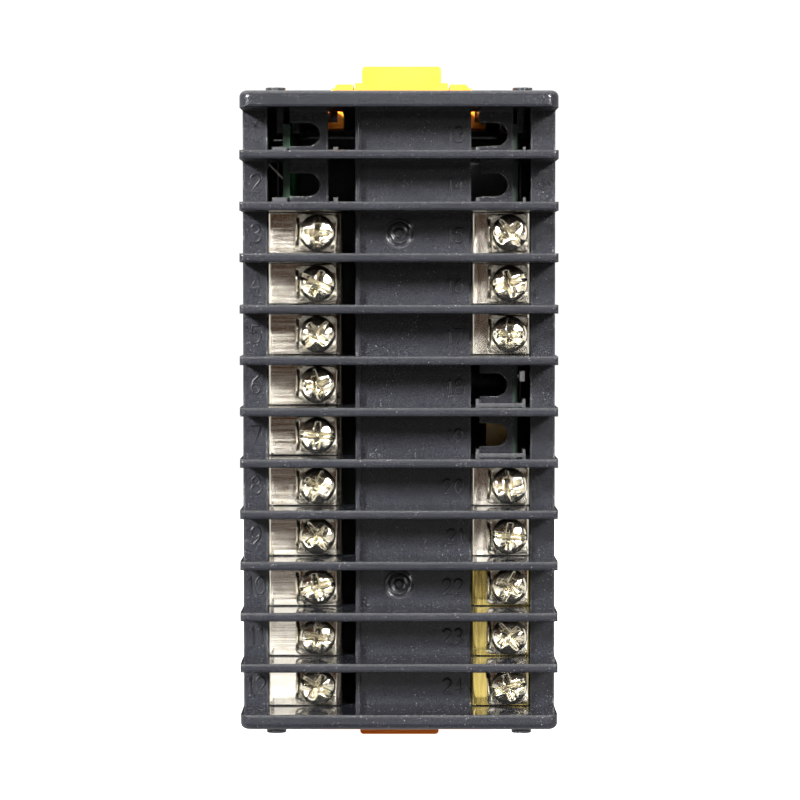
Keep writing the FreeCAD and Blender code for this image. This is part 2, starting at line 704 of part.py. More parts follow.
def front_bezel():
    """Front frame: face with its openings, spigot into the case, latches and board posts."""
    height = (-BEZEL_HALF_HEIGHT, BEZEL_HALF_HEIGHT)
    frame = rounded_panel(BEZEL_HALF_WIDTH, height, (BEZEL_FRONT, FRONT), BEZEL_CORNER)
    face_rim = [e for e in frame.Edges if e.BoundBox.YMax < BEZEL_FRONT + TINY]
    frame = frame.makeFillet(BEZEL_EDGE, face_rim)
    side, end = INNER_SIDE - SPIGOT_PLAY, INNER_END - SPIGOT_PLAY
    spigot = box((-side, side), (FRONT, SPIGOT_DEPTH), (-end, end))
    latches = latch_blocks(INNER_SIDE + LATCH_HEIGHT, 0)
    frame = fuse([frame, spigot] + latches).cut(bezel_openings())
    post_x = CAVITY_SIDE - POST_OFFSET
    posts = []
    for x in (-post_x, post_x):
        for z in (WINDOW_TOP - UPPER_POST, KEY_Z + LOWER_POST):
            posts.append(rod(POST_RADIUS, (x, BEZEL_INNER, z), (0, 1, 0), DISPLAY_BOARD_Y - BEZEL_INNER))
    return fuse([frame] + posts)


def panel_gasket():
    """Flat ring between the bezel and the panel."""
    half_width = BEZEL_HALF_WIDTH - GASKET_INSET
    half_height = BEZEL_HALF_HEIGHT - GASKET_INSET
    side = HALF_WIDTH + GASKET_PLAY
    end = HALF_HEIGHT + COLLAR_STEP + GASKET_PLAY
    outer = box((-half_width, half_width), (FRONT, 0), (-half_height, half_height))
    return outer.cut(box((-side, side), (FRONT, 0), (-end, end)))


def display_window():
    height = (WINDOW_BOTTOM + WINDOW_FIT, WINDOW_TOP - WINDOW_FIT)
    y = (BEZEL_FRONT, BEZEL_FRONT + WINDOW)
    return rounded_panel(WINDOW_HALF - WINDOW_FIT, height, y, WINDOW_CORNER)


def key(x):
    """Cap that stands out of the bezel, flange behind the face and stem to the switch."""
    flange_front = BEZEL_INNER + KEY_FLANGE_PLAY
    flange_rear = flange_front + KEY_FLANGE
    cap = key_block(0, (BEZEL_FRONT - KEY_RISE, flange_rear))
    flange = key_block(KEY_FLANGE, (flange_front, flange_rear))
    stem = rod(STEM_RADIUS, (0, flange_rear, KEY_Z), (0, 1, 0), STEM_END - flange_rear)
    return moved(fuse([cap, flange, stem]), x)


def plunger(x):
    return rod(PLUNGER_RADIUS, (x, STEM_END, KEY_Z), (0, 1, 0), PLUNGER_LENGTH)


def key_switch(x):
    """Switch on the display board with a blind bore for its plunger's travel."""
    half = SWITCH / 2
    body = box((x - half, x + half), (SWITCH_FRONT, DISPLAY_BOARD_Y), (KEY_Z - half, KEY_Z + half))
    depth = PLUNGER_LENGTH - PLUNGER_RISE + KEY_TRAVEL + PLUNGER_PLAY
    return body.cut(rod(PLUNGER_RADIUS + PLUNGER_PLAY, (x, SWITCH_FRONT, KEY_Z), (0, 1, 0), depth))


def display_board():
    half = CAVITY_SIDE - BOARD_EDGE
    height = (-BOARD_HALF_HEIGHT, BOARD_HALF_HEIGHT)
    return box((-half, half), (DISPLAY_BOARD_Y, DISPLAY_REAR), height)


def display_module(top, height):
    y = (DISPLAY_FRONT, DISPLAY_BOARD_Y)
    return box((-DISPLAY_HALF, DISPLAY_HALF), y, (top - height, top))


def indicator_lamps():
    places = [(i - (LAMP_COUNT - 1) / 2) * LAMP_PITCH for i in range(LAMP_COUNT)]
    length = DISPLAY_BOARD_Y - DISPLAY_FRONT
    return [rod(LAMP_RADIUS, (x, DISPLAY_FRONT, LAMP_Z), (0, 1, 0), length) for x in places]


def main_board(column):
    faces = (column.board, column.board + BOARD)
    height = (-BOARD_HALF_HEIGHT, BOARD_HALF_HEIGHT)
    return box(span(column, faces), (BOARD_START, BOARD_END), height)


def on_board(column, block, start, z):
    """Block on the inner face of a main board, from a Y upwards and about a height."""
    face = column.board + BOARD
    height = (z - block.height / 2, z + block.height / 2)
    return box(span(column, (face, face + block.rise)), (start, start + block.depth), height)


def header(column):
    """Connector between the display board and a main board."""
    return on_board(column, Block(HEADER_WIDTH, HEADER_DEPTH, HEADER_HEIGHT), DISPLAY_REAR, 0)


def transformer():
    """Laminated core with a winding that stands out in front and behind."""
    start = BOARD_START + CORE_START
    z = CORE_FOOT + CORE.height / 2 - BOARD_HALF_HEIGHT
    overhang = (WINDING.depth - CORE.depth) / 2
    return fuse([on_board(SECOND, CORE, start, z), on_board(SECOND, WINDING, start - overhang, z)])


def supply_capacitor():
    face = across(SECOND, SECOND.board + BOARD)
    can = rod(CAN_RADIUS, (face, BOARD_START + CAN_START, CAN_Z), (1, 0, 0), CAN_LENGTH)
    return can.makeFillet(CAN_EDGE, [e for e in can.Edges if isinstance(e.Curve, Part.Circle)])


def output_relay(number):
    z = BOARD_HALF_HEIGHT - RELAY_DROP - RELAY.height / 2 - (number - 1) * RELAY_PITCH
    body = on_board(SECOND, RELAY, BOARD_END - RELAY_SETBACK - RELAY.depth, z)
    return body.makeFillet(RELAY_EDGE, edges_along(body, (1, 0, 0)))


def film_capacitor():
    start = BOARD_END - FILM_SETBACK - FILM.depth
    body = on_board(SECOND, FILM, start, row_z(FILM_ROW) - FILM_DROP)
    return body.makeFillet(FILM_EDGE, edges_along(body, (0, 1, 0)))


def optocouplers():
    start = BOARD_END - COUPLER_SETBACK - COUPLER.depth
    z = COUPLER_FOOT + COUPLER.height / 2
    return [on_board(FIRST, COUPLER, start - i * COUPLER_PITCH, z) for i in range(COUPLER_COUNT)]


def test_pin():
    """Tinned pin whose square head stands off the outer face of the power board on a neck."""
    y, z = BOARD_END - PIN.depth / 2, row_z(PIN_ROW) + PIN_RISE
    head = SECOND.board - PIN_NECK
    height = (z - PIN.height / 2, z + PIN.height / 2)
    block = box(span(SECOND, (head - PIN.rise, head)), (BOARD_END - PIN.depth, BOARD_END), height)
    neck = rod(PIN_NECK_RADIUS, (across(SECOND, head), y, z), (1, 0, 0), PIN_NECK)
    return fuse([block, neck])


def input_leads():
    """Wire ends that stand out of the input board's outer face, cut off flush with it."""
    board = main_board(FIRST)
    leads = []
    for row, rise, angle, length in LEADS:
        turn = math.radians(angle)
        direction = (math.cos(turn), 0, math.sin(turn))
        x, z = across(FIRST, FIRST.board), row_z(row) + rise
        start = (x - BOARD / 2 * direction[0], BOARD_END - LEAD_SETBACK, z - BOARD / 2 * direction[2])
        leads.append(rod(LEAD_RADIUS, start, direction, BOARD / 2 + length).cut(board))
    return leads


def microcontroller():
    return on_board(FIRST, CHIP, BOARD_START + CHIP_START, CHIP_FOOT + CHIP.height / 2)


def converter():
    start = BOARD_END - CONVERTER_SETBACK - CONVERTER.depth
    return on_board(FIRST, CONVERTER, start, CHIP_FOOT - CONVERTER_GAP - CONVERTER.height / 2)


def every_terminal():
    """Column, row and number of each fitted terminal."""
    first = [(FIRST, row, row) for row in FIRST_ROWS]
    return first + [(SECOND, row, row + ROWS) for row in SECOND_ROWS]


def case_and_terminals():
    places = [(column, row) for column, row, number in every_terminal()]
    nodes = {
        "case": case(),
        "upper_bracket": moved(bracket(), UPPER_SHIFT),
        "lower_bracket": lower_bracket(),
        "terminal_screws": Part.makeCompound([terminal_screw(*place) for place in places]),
        "terminal_washers": Part.makeCompound([terminal_washer(*place) for place in places]),
    }
    for column, row, number in every_terminal():
        nodes[f"terminal_{number:02d}"] = terminal(column, row)
    return nodes


def front_parts():
    nodes = {
        "front_bezel": front_bezel(),
        "panel_gasket": panel_gasket(),
        "display_window": display_window(),
        "key_switches": Part.makeCompound([key_switch(x) for x in key_places()]),
        "display_board": display_board(),
        "process_display": display_module(PROCESS_TOP, PROCESS_HEIGHT),
        "setpoint_display": display_module(SETPOINT_TOP, SETPOINT_HEIGHT),
        "indicator_lamps": Part.makeCompound(indicator_lamps()),
    }
    for name, x in zip(KEY_NAMES, key_places()):
        nodes[f"{name}_key"] = key(x)
        nodes[f"{name}_plunger"] = plunger(x)
    return nodes


def board_parts():
    return {
        "input_board": main_board(FIRST),
        "power_board": main_board(SECOND),
        "input_header": header(FIRST),
        "power_header": header(SECOND),
        "transformer": transformer(),
        "supply_capacitor": supply_capacitor(),
        "output_relay_1": output_relay(1),
        "output_relay_2": output_relay(2),
        "film_capacitor": film_capacitor(),
        "optocouplers": Part.makeCompound(optocouplers()),
        "test_pin": test_pin(),
        "input_leads": Part.makeCompound(input_leads()),
        "microcontroller": microcontroller(),
        "converter": converter(),
    }


os.makedirs("parts", exist_ok=True)
for nodes in (case_and_terminals(), front_parts(), board_parts()):
    for name, shape in nodes.items():
        shape.exportStep(f"parts/{name}.step")
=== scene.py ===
import math

import bmesh
import bpy
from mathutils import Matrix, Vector


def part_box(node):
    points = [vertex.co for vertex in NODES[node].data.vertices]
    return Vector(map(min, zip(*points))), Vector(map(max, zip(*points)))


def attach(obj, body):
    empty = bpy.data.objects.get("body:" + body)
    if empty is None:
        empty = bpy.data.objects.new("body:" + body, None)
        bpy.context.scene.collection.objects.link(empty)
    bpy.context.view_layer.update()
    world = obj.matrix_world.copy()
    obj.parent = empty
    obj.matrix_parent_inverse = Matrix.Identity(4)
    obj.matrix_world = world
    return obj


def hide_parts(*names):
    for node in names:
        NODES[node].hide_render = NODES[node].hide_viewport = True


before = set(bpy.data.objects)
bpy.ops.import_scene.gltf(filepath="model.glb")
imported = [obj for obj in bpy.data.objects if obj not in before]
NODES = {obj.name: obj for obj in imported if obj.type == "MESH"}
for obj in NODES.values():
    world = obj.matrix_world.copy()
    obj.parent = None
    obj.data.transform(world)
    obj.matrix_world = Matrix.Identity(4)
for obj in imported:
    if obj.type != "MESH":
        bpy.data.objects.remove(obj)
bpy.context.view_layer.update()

# Lengths are in millimetres, in the model's frame, where nothing else is said
MM = 0.001
TINY = 1e-6  # least divisor

# Terminal block
ROWS = 12
ROW_PITCH = 7.2
SHOULDER_Y = 50.5
CENTRE_Y = 49.5
RIB_END_Y = 50.4
RIB_END_DEPTH = 0.04  # of the rubbed skin on the ribs' ends
ROLLED_TERMINALS = [f"terminal_{number:02d}" for number in range(3, 13)]
DRAWN_TERMINALS = [f"terminal_{number}" for number in (15, 16, 17, 20, 21)]
BRASS_TERMINALS = [f"terminal_{number}" for number in (22, 23, 24)]
SHADED_END_X = 8.9  # rolled strips carry painted shade up to here
SHADE_FADE = 0.3
NOWHERE_X = -100.0  # beyond every piece

# Side, X and rows of each column of screws
SCREW_COLUMNS = ((1, 11.65, range(3, 13)), (-1, -15.7, (3, 4, 5, 8, 9, 10, 11, 12)))

# Raised numbers
STROKE_RADIUS = 0.18
STROKE_ROUNDING = 2
ARC_STEPS = 10
SHOULDER_FIGURE = 2.5  # height
SHOULDER_MIDDLE_X = 20.5
SHOULDER_DROP = 1.3  # from the row's middle to the foot of its number
CENTRE_FIGURE = 2.15
CENTRE_END_X = -9.15
CENTRE_DROP = 1.4

# Screws
SCREW_TURN = 67  # degrees from row to row
SCREW_SIDES = 96
HEAD_RINGS = 28
HEAD_BASE_Y = 51.6
HEAD_RADIUS = 2.6
HEAD_TOP = 2.0
HEAD_DOME = 0.55
HEAD_ROUND = 0.5
CROSS_DEPTH = 1.2
CROSS_REACH = 1.9
CROSS_HALF = 0.5
CROSS_TAPER = 0.7  # power of the recess's slope
SLOT_DEPTH = 0.55
SLOT_HALF = 0.45
SHANK_RADIUS = 1.5
SHANK_LENGTH = 4.2
SHANK_TIP = 0.4

# Washers
WASHER_SIDES = 96
WASHER_RINGS = 20
WASHER_CROWDING = 1.6  # draws the rings towards the rim
WASHER_Y = 51.0
WASHER_HALF = 2.775
WASHER_LONG = 3.2  # to the side with the lip
WASHER_CORNER = 0.8
WASHER_THICKNESS = 0.6
WASHER_CROWN = 0.26
WASHER_RIM = 0.22
WASHER_HOLE = 1.55
WASHER_TURN = 3  # degrees at most
LIP_MIDDLE = 2.9
LIP_HALF = 0.28
LIP_RISE = 0.7
LIP_LENGTH = 1.9
LIP_SQUARENESS = 6  # power that rounds the lip's two ends

# Front
WINDOW_MARGIN = 0.6
KEY_SIGNS = {"mode": "ring", "shift": "left", "down": "down", "up": "up"}
KEY_FRONT_Y = -7.05  # signs are printed in front of this
RING_RADIUS = 1.3
RING_HALF = 0.22
TRIANGLE_TIP = 1.4
TRIANGLE_FOOT = -1.1
TRIANGLE_SLOPE = 1.5
DISPLAY_FIGURES = 4
FIGURE_SHARE = 0.7  # of the module's height
FIGURE_MIDDLE = 0.47  # of the pitch
BAR_LENGTH = 0.5  # of the pitch
BAR_WIDTH = 0.1  # of the figure's height
BAR_GAP = 0.3
BAR_THICKNESS = 0.1
BAR_SLANT = 0.12

# Studio, in metres
FLOOR_Z = -0.051
FLOOR_MIDDLE_Y = 0.25
FLOOR_SIZE = (1.6, 1.3, 1.0)
LIT_POINT = Vector((0, 0.055, 0))
LAMP_SIZE = 0.2
LAMP_SPREAD = 24  # degrees

# What reflections see: brightnesses, and directions where each thing fades in or out
ROOM_BROWN = (0.044, 0.023, 0.013, 1)
GLOW = 1.9  # of the table and the card
PATCH = 0.04
WHITE = 1.1  # what the camera sees instead
TABLE_EDGES = ((-0.26, -0.20), (-0.112, -0.14))
CARD_EDGES = ((0.07, 0.09), (0.175, 0.155))
CARD_SIDE = (0.10, 0.075)
BACKDROP_EDGE = (0.45, 0.30)
PATCH_EDGE = (-0.93, -0.97)

# Camera, in metres, and its lens in millimetres
CAMERA_PLACE = Vector((-0.00014, 0.460, 0.0178))
CAMERA_TARGET = Vector((-0.00014, 0.060, 0.00173))
LENS = 128.9
SENSOR = 36.0
NEAREST = 0.01  # where the view begins


class Nodes:
    """Shorthand for building a node tree."""

    def __init__(self, tree):
        self.nodes = tree.nodes
        self.links = tree.links

    def node(self, kind, **settings):
        made = self.nodes.new(kind)
        for name, value in settings.items():
            setattr(made, name, value)
        return made

    def feed(self, socket, value):
        """Links an output to a socket, or sets the socket's own value."""
        if isinstance(value, bpy.types.NodeSocket):
            self.links.new(value, socket)
        else:
            socket.default_value = value

    def math(self, operation, *values):
        made = self.node("ShaderNodeMath", operation=operation)
        for socket, value in zip(made.inputs, values):
            self.feed(socket, value)
        return made.outputs[0]

    def product(self, first, *others):
        for other in others:
            first = self.math("MULTIPLY", first, other)
        return first

    def largest(self, first, *others):
        for other in others:
            first = self.math("MAXIMUM", first, other)
        return first

    def span(self, value, low, high, to_low=0.0, to_high=1.0):
        """Value mapped from one range to another and held inside it."""
        made = self.node("ShaderNodeMapRange", clamp=True)
        for socket, number in zip(made.inputs, (value, low, high, to_low, to_high)):
            self.feed(socket, number)
        return made.outputs[0]

    def between(self, value, low, high):
        """1 inside a range and 0 outside, each end given as the values where it is 0 and 1."""
        return self.product(self.span(value, *low), self.span(value, *high))

    def mix(self, share, first, second):
        """Two colours mixed, through the sockets that a Mix node has for colours."""
        made = self.node("ShaderNodeMix", data_type="RGBA")
        self.feed(made.inputs[0], share)
        self.feed(made.inputs[6], first)
        self.feed(made.inputs[7], second)
        return made.outputs[2]

    def parts(self, vector):
        """X, Y and Z of a vector."""
        made = self.node("ShaderNodeSeparateXYZ")
        self.feed(made.inputs[0], vector)
        return made.outputs


class Surface(Nodes):
    """A material under construction: its node tree and its Principled shader."""

    EDGE_SAMPLES = 6
    EDGE_SHADE = (0.92, 0.6)  # openness seen from inside, at the reach and at the edge
    NOISE_MIDDLE = (0.3, 0.7)  # where most of the noise lies

    def __init__(self, name, **values):
        self.material = bpy.data.materials.new(name)
        self.material.use_nodes = True
        super().__init__(self.material.node_tree)
        self.shader = self.nodes["Principled BSDF"]
        for socket, value in values.items():
            self.shader.inputs[socket.replace("_", " ")].default_value = value
        coords = self.node("ShaderNodeTexCoord").outputs["Object"]
        scale = self.node("ShaderNodeVectorMath", operation="SCALE")
        self.links.new(coords, scale.inputs[0])
        scale.inputs["Scale"].default_value = 1 / MM
        self.millimetres = scale.outputs[0]

    def stretched(self, x, y, z):
        """Millimetre coordinates scaled along each axis, for grain that runs one way."""
        made = self.node("ShaderNodeVectorMath", operation="MULTIPLY")
        self.feed(made.inputs[0], self.millimetres)
        made.inputs[1].default_value = (x, y, z)
        return made.outputs[0]

    def noise(self, size, detail=3.0, where=None, roughness=0.55):
        """Cloudy noise from 0 to 1 with features of about the size in millimetres."""
        made = self.node("ShaderNodeTexNoise")
        self.feed(made.inputs["Vector"], where or self.millimetres)
        made.inputs["Scale"].default_value = 1 / size
        made.inputs["Detail"].default_value = detail
        made.inputs["Roughness"].default_value = roughness
        return made.outputs["Fac"]

    def clouds(self, size, detail=3.0, low=0.0, high=1.0):
        """Cloudy noise whose middle part is spread over a range."""
        return self.span(self.noise(size, detail), *self.NOISE_MIDDLE, low, high)

    def cells(self, size):
        """Distance to the nearest of scattered points about the size in millimetres apart."""
        made = self.node("ShaderNodeTexVoronoi")
        self.feed(made.inputs["Vector"], self.millimetres)
        made.inputs["Scale"].default_value = 1 / size
        return made.outputs["Distance"]

    def facing(self, kind="Normal"):
        """X, Y and Z of the surface's direction."""
        return self.parts(self.node("ShaderNodeNewGeometry").outputs[kind])

    def edges(self, reach):
        """1 at outward edges, falling to 0 at the reach in millimetres."""
        inside = self.node("ShaderNodeAmbientOcclusion", inside=True, only_local=True)
        inside.samples = self.EDGE_SAMPLES
        inside.inputs["Distance"].default_value = reach * MM
        return self.span(inside.outputs["AO"], *self.EDGE_SHADE)

    def bump(self, height, depth, edge_radius=0.0):
        """Relief of a depth in millimetres, on edges that look rounded by the radius."""
        made = self.node("ShaderNodeBump")
        made.inputs["Distance"].default_value = depth * MM
        self.feed(made.inputs["Height"], height)
        if edge_radius:
            bevel = self.node("ShaderNodeBevel", samples=self.EDGE_SAMPLES)
            bevel.inputs["Radius"].default_value = edge_radius * MM
            self.feed(made.inputs["Normal"], bevel.outputs[0])
        self.feed(self.shader.inputs["Normal"], made.outputs[0])

    def colour(self, value):
        self.feed(self.shader.inputs["Base Color"], value)

    def roughness(self, value):
        self.feed(self.shader.inputs["Roughness"], value)


def grey(value):
    return (value, value, value, 1.0)


def tinted(colour, *shares):
    """A colour with each of its parts reduced to a share."""
    return (*(part * share for part, share in zip(colour, shares)), 1)


def box_of(node):
    """Lowest and highest corner of a node in millimetres."""
    low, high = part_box(node)
    return low / MM, high / MM


def case_material():
    """Satin charcoal moulding with fine grain, dust, a painted highlight on its upper rear rims and pale
    scuffs along its edges.
    """
    s = Surface("case", Specular_IOR_Level=0.36)
    facing = s.facing()
    grain = s.noise(0.3, detail=6.0, roughness=0.75)
    cloud = s.noise(9.0, detail=4.0)
    mottle = s.math("MULTIPLY_ADD", grain, 0.7, s.math("MULTIPLY", cloud, 0.3))
    dark, light = (0.0046, 0.0049, 0.0068, 1), (0.0105, 0.0111, 0.0140, 1)
    chalk = (0.42, 0.42, 0.40, 1)
    base = s.mix(s.span(mottle, 0.38, 0.62), dark, light)

    # Patches of specks, most of them on the tops
    up = s.span(facing["Z"], 0.3, 0.9, 0.35, 1.0)
    dust = s.product(s.span(s.cells(0.5), 0.16, 0.09), s.span(s.noise(3.5), 0.46, 0.58), up)

    # Finer dust on the tops' rounded rear rims, and a painted highlight: each rim facing up and
    # rearwards, towards the lamps, is always lightened a little
    rims = s.product(s.span(facing["Z"], 0.3, 0.8), s.span(facing["Y"], 0.05, 0.25))
    settled_dust_and_sheen = s.product(rims, s.span(s.noise(0.14), 0.4, 0.7, 0.02, 0.17))

    # Chips along the edges
    chips = s.product(s.span(s.noise(0.16), 0.57, 0.66), s.span(s.noise(3.0), 0.45, 0.6))
    scuffs = s.product(s.edges(0.35), s.math("MULTIPLY_ADD", chips, 0.85, 0.03))

    # Rubbed ends of the ribs
    depth = s.math("ABSOLUTE", s.math("SUBTRACT", s.parts(s.millimetres)["Y"], RIB_END_Y))
    skin = s.math("LESS_THAN", depth, RIB_END_DEPTH)
    rubbed = s.product(skin, s.span(grain, *s.NOISE_MIDDLE, 0.02, 0.09))

    pale = s.largest(dust, settled_dust_and_sheen, scuffs, rubbed)
    s.colour(s.mix(s.math("MULTIPLY", pale, 0.85), base, chalk))

    # Level tops are smoother than the walls
    shelf = s.span(facing["Z"], 0.93, 0.98)
    pits = s.span(s.noise(0.04, detail=1.0), 0.54, 0.62, 0.0, 0.46)
    wall = s.largest(s.clouds(1.5, 5.0, 0.13, 0.2), pits)
    rough = s.span(shelf, 0.0, 1.0, wall, 0.07)
    s.roughness(s.largest(rough, s.math("MULTIPLY", pale, 0.7)))
    s.bump(s.product(grain, s.span(shelf, 0.0, 1.0, 1.0, 0.06)), 0.012, edge_radius=0.1)
    return s.material


def bracket_material():
    """Amber plastic, slightly translucent."""
    s = Surface("amber", Specular_IOR_Level=0.3, Subsurface_Weight=0.25, Subsurface_Scale=0.002)
    s.shader.inputs["Subsurface Radius"].default_value = (1.0, 0.4, 0.05)
    s.colour(s.mix(s.clouds(6.0), (0.90, 0.235, 0.003, 1), (0.93, 0.255, 0.005, 1)))
    s.roughness(s.clouds(3.0, 4.0, 0.36, 0.44))
    s.bump(s.noise(0.4), 0.004, edge_radius=0.15)
    return s.material


def pitted_roughness(s, streaks, bright, matt):
    """Bright metal with fine matt pits that add haze, more of them along some streaks."""
    pits = s.math("ADD", s.noise(0.03, detail=1.0), s.math("MULTIPLY", streaks, 0.3))
    s.roughness(s.span(pits, 0.72, 0.79, bright, matt))


def nickel_material(name, tint, finish, waves, grain=(1.0, 1.0, 1.0), edge=0.0, shaded_to=NOWHERE_X):
    """Nickel plating with streaks, stains and eased edges, with painted shade darkening it up to a place
    along X.

    The finish is the roughness of the metal and of its pits. The waves are the size, detail and
    depth of the streaks, and the grain shrinks their coordinates along the way they run.
    """
    s = Surface(name, Metallic=1.0)
    stains = s.span(s.noise(1.6, detail=4.0), 0.5, 0.7, 0.0, 0.5)
    clean = s.mix(stains, (*tint, 1), tinted(tint, 0.80, 0.74, 0.62))
    # Painted shade: the strip turns almost black up to a place along X, standing in for the shadow on
    # its end
    painted_shade = s.span(s.parts(s.millimetres)["X"], shaded_to + SHADE_FADE, shaded_to)
    s.colour(s.mix(painted_shade, clean, tinted(tint, 0.08, 0.075, 0.07)))
    size, detail, relief = waves
    streaks = s.noise(size, detail, s.stretched(*grain))
    pitted_roughness(s, streaks, *finish)
    s.bump(streaks, relief, edge)
    return s.material


def brass_material():
    """Bare brass strip, drawn, with brighter streaks."""
    s = Surface("brass", Metallic=1.0)
    streaks = s.noise(0.5, where=s.stretched(1.0, 1.0, 0.1))
    s.colour(s.mix(s.span(streaks, 0.35, 0.7), (0.45, 0.34, 0.09, 1), (0.66, 0.53, 0.18, 1)))
    pitted_roughness(s, streaks, bright=0.09, matt=0.34)
    s.bump(streaks, 0.004, edge_radius=0.12)
    return s.material


def board_material():
    """Green solder mask over a weave, with darker cut edges."""
    s = Surface("board", Specular_IOR_Level=0.25)
    weave = s.noise(0.6)
    threads = s.span(weave, *s.NOISE_MIDDLE)
    mask = s.mix(threads, (0.006, 0.075, 0.016, 1), (0.010, 0.11, 0.024, 1))
    cut = s.math("GREATER_THAN", s.math("ABSOLUTE", s.facing("True Normal")["Y"]), 0.7)
    edge = s.mix(s.noise(0.25, detail=2.0), (0.006, 0.021, 0.010, 1), (0.011, 0.033, 0.017, 1))
    s.colour(s.mix(cut, mask, edge))
    s.roughness(s.span(weave, *s.NOISE_MIDDLE, 0.3, 0.5))
    s.bump(weave, 0.01)
    return s.material


def plain_material(name, colour, roughness, variation=0.15, size=2.0, relief=0.01, edge=0.1, **values):
    """Moulded or coated surface: a colour with soft variation, fine relief and eased edges."""
    s = Surface(name, **values)
    low = tuple(part * (1 - variation) for part in colour)
    high = tuple(min(1.0, part * (1 + variation)) for part in colour)
    s.colour(s.mix(s.clouds(size, 4.0), (*low, 1), (*high, 1)))
    s.roughness(s.clouds(size / 3, 4.0, roughness * 0.85, min(1.0, roughness * 1.15)))
    s.bump(s.noise(0.25), relief, edge)
    return s.material


def window_material():
    """Smoked acrylic, printed black except in front of the displays and lamps."""
    s = Surface("window", IOR=1.49)
    place = s.parts(s.millimetres)
    panes = []
    for name in ("process_display", "setpoint_display", "indicator_lamps"):
        low, high = box_of(name)
        sides = []
        for axis, least, most in (("X", low.x, high.x), ("Z", low.z, high.z)):
            sides.append(s.math("GREATER_THAN", place[axis], least - WINDOW_MARGIN))
            sides.append(s.math("LESS_THAN", place[axis], most + WINDOW_MARGIN))
        panes.append(s.product(*sides))
    clear = s.largest(*panes)
    smoke = s.mix(s.clouds(12.0), (0.22, 0.21, 0.22, 1), (0.27, 0.26, 0.27, 1))
    s.colour(s.mix(clear, (0.006, 0.006, 0.007, 1), smoke))
    s.feed(s.shader.inputs["Transmission Weight"], clear)
    s.roughness(s.clouds(4.0, 3.0, 0.05, 0.09))
    return s.material


def key_material(name, sign, middle):
    """Soft grey key with a printed sign: a ring, or a triangle pointing one way."""
    s = Surface(name, Specular_IOR_Level=0.4)
    place = s.parts(s.millimetres)
    u = s.math("SUBTRACT", place["X"], middle.x)
    v = s.math("SUBTRACT", place["Z"], middle.z)
    if sign == "ring":
        radius = s.math("SQRT", s.math("ADD", s.product(u, u), s.product(v, v)))
        off_ring = s.math("ABSOLUTE", s.math("SUBTRACT", radius, RING_RADIUS))
        printed = s.math("LESS_THAN", off_ring, RING_HALF)
    else:
        along, across = (u, v) if sign == "left" else (v, u)
        if sign != "up":
            along = s.math("MULTIPLY", along, -1)
        side = s.math("MULTIPLY_ADD", s.math("ABSOLUTE", across), TRIANGLE_SLOPE, along)
        printed = s.product(
            s.math("LESS_THAN", side, TRIANGLE_TIP), s.math("GREATER_THAN", along, TRIANGLE_FOOT)
        )
    front = s.math("LESS_THAN", place["Y"], KEY_FRONT_Y)
    body = s.mix(s.clouds(1.5), grey(0.10), grey(0.125))
    s.colour(s.mix(s.product(printed, front), body, grey(0.72)))
    s.roughness(s.clouds(0.8, 4.0, 0.45, 0.6))
    s.bump(s.noise(0.2), 0.012, edge_radius=0.25)
    return s.material


def paint(material, *names):
    for name in names:
        data = NODES[name].data
        data.materials.clear()
        data.materials.append(material)


def paint_terminals():
    nickel = (0.86, 0.81, 0.71)
    rolled = nickel_material(
        "nickel_rolled", nickel, finish=(0.08, 0.52), waves=(0.5, 3.0, 0.003),
        grain=(0.04, 1.0, 1.0), edge=0.22, shaded_to=SHADED_END_X,
    )
    drawn = nickel_material(
        "nickel_drawn", nickel, finish=(0.08, 0.5), waves=(1.6, 1.0, 0.016),
        grain=(1.0, 1.0, 0.08), edge=0.18,
    )
    paint(rolled, *ROLLED_TERMINALS)
    paint(drawn, *DRAWN_TERMINALS)
    paint(brass_material(), *BRASS_TERMINALS)


def paint_housing():
    paint(case_material(), "case")
    paint(bracket_material(), "upper_bracket", "lower_bracket")
    paint(plain_material("bezel", (0.012, 0.0125, 0.015), 0.5, relief=0.02, edge=0.25), "front_bezel")
    gasket = plain_material("gasket", (0.012, 0.012, 0.012), 0.85, variation=0.3, size=0.5, relief=0.03)
    paint(gasket, "panel_gasket")
    paint(window_material(), "display_window")
    for name, sign in KEY_SIGNS.items():
        low, high = box_of(f"{name}_key")
        paint(key_material(f"{name}_key", sign, (low + high) / 2), f"{name}_key")


def paint_electronics():
    paint(board_material(), "input_board", "power_board", "display_board")
    plungers = [f"{name}_plunger" for name in KEY_SIGNS]
    paint(plain_material("switch", (0.02, 0.02, 0.02), 0.45), "key_switches", *plungers)
    paint(plain_material("lamp", (0.35, 0.02, 0.015), 0.25), "indicator_lamps")
    displays = ("process_display", "setpoint_display")
    paint(plain_material("display", (0.012, 0.012, 0.012), 0.4), *displays)
    paint(plain_material("connector", (0.02, 0.02, 0.02), 0.5), "input_header", "power_header")
    core = plain_material("transformer", (0.14, 0.11, 0.06), 0.55, variation=0.3, size=0.8)
    paint(core, "transformer")
    paint(plain_material("sleeve", (0.015, 0.015, 0.03), 0.3), "supply_capacitor")
    paint(plain_material("relay", (0.010, 0.010, 0.012), 0.5), "output_relay_1", "output_relay_2")
    paint(plain_material("film", (0.50, 0.27, 0.015), 0.3), "film_capacitor")
    paint(plain_material("coupler", (0.02, 0.02, 0.02), 0.5), "optocouplers")
    paint(plain_material("tin", (0.62, 0.62, 0.6), 0.35, Metallic=1.0), "test_pin", "input_leads")
    paint(plain_material("chip", (0.02, 0.02, 0.021), 0.55), "microcontroller", "converter")


def arc(x, z, rx, rz, start, end):
    """Points along an ellipse between two angles in degrees."""
    turns = [start + (end - start) * i / ARC_STEPS for i in range(ARC_STEPS + 1)]
    angles = [math.radians(turn) for turn in turns]
    return [(x + rx * math.cos(a), z + rz * math.sin(a)) for a in angles]


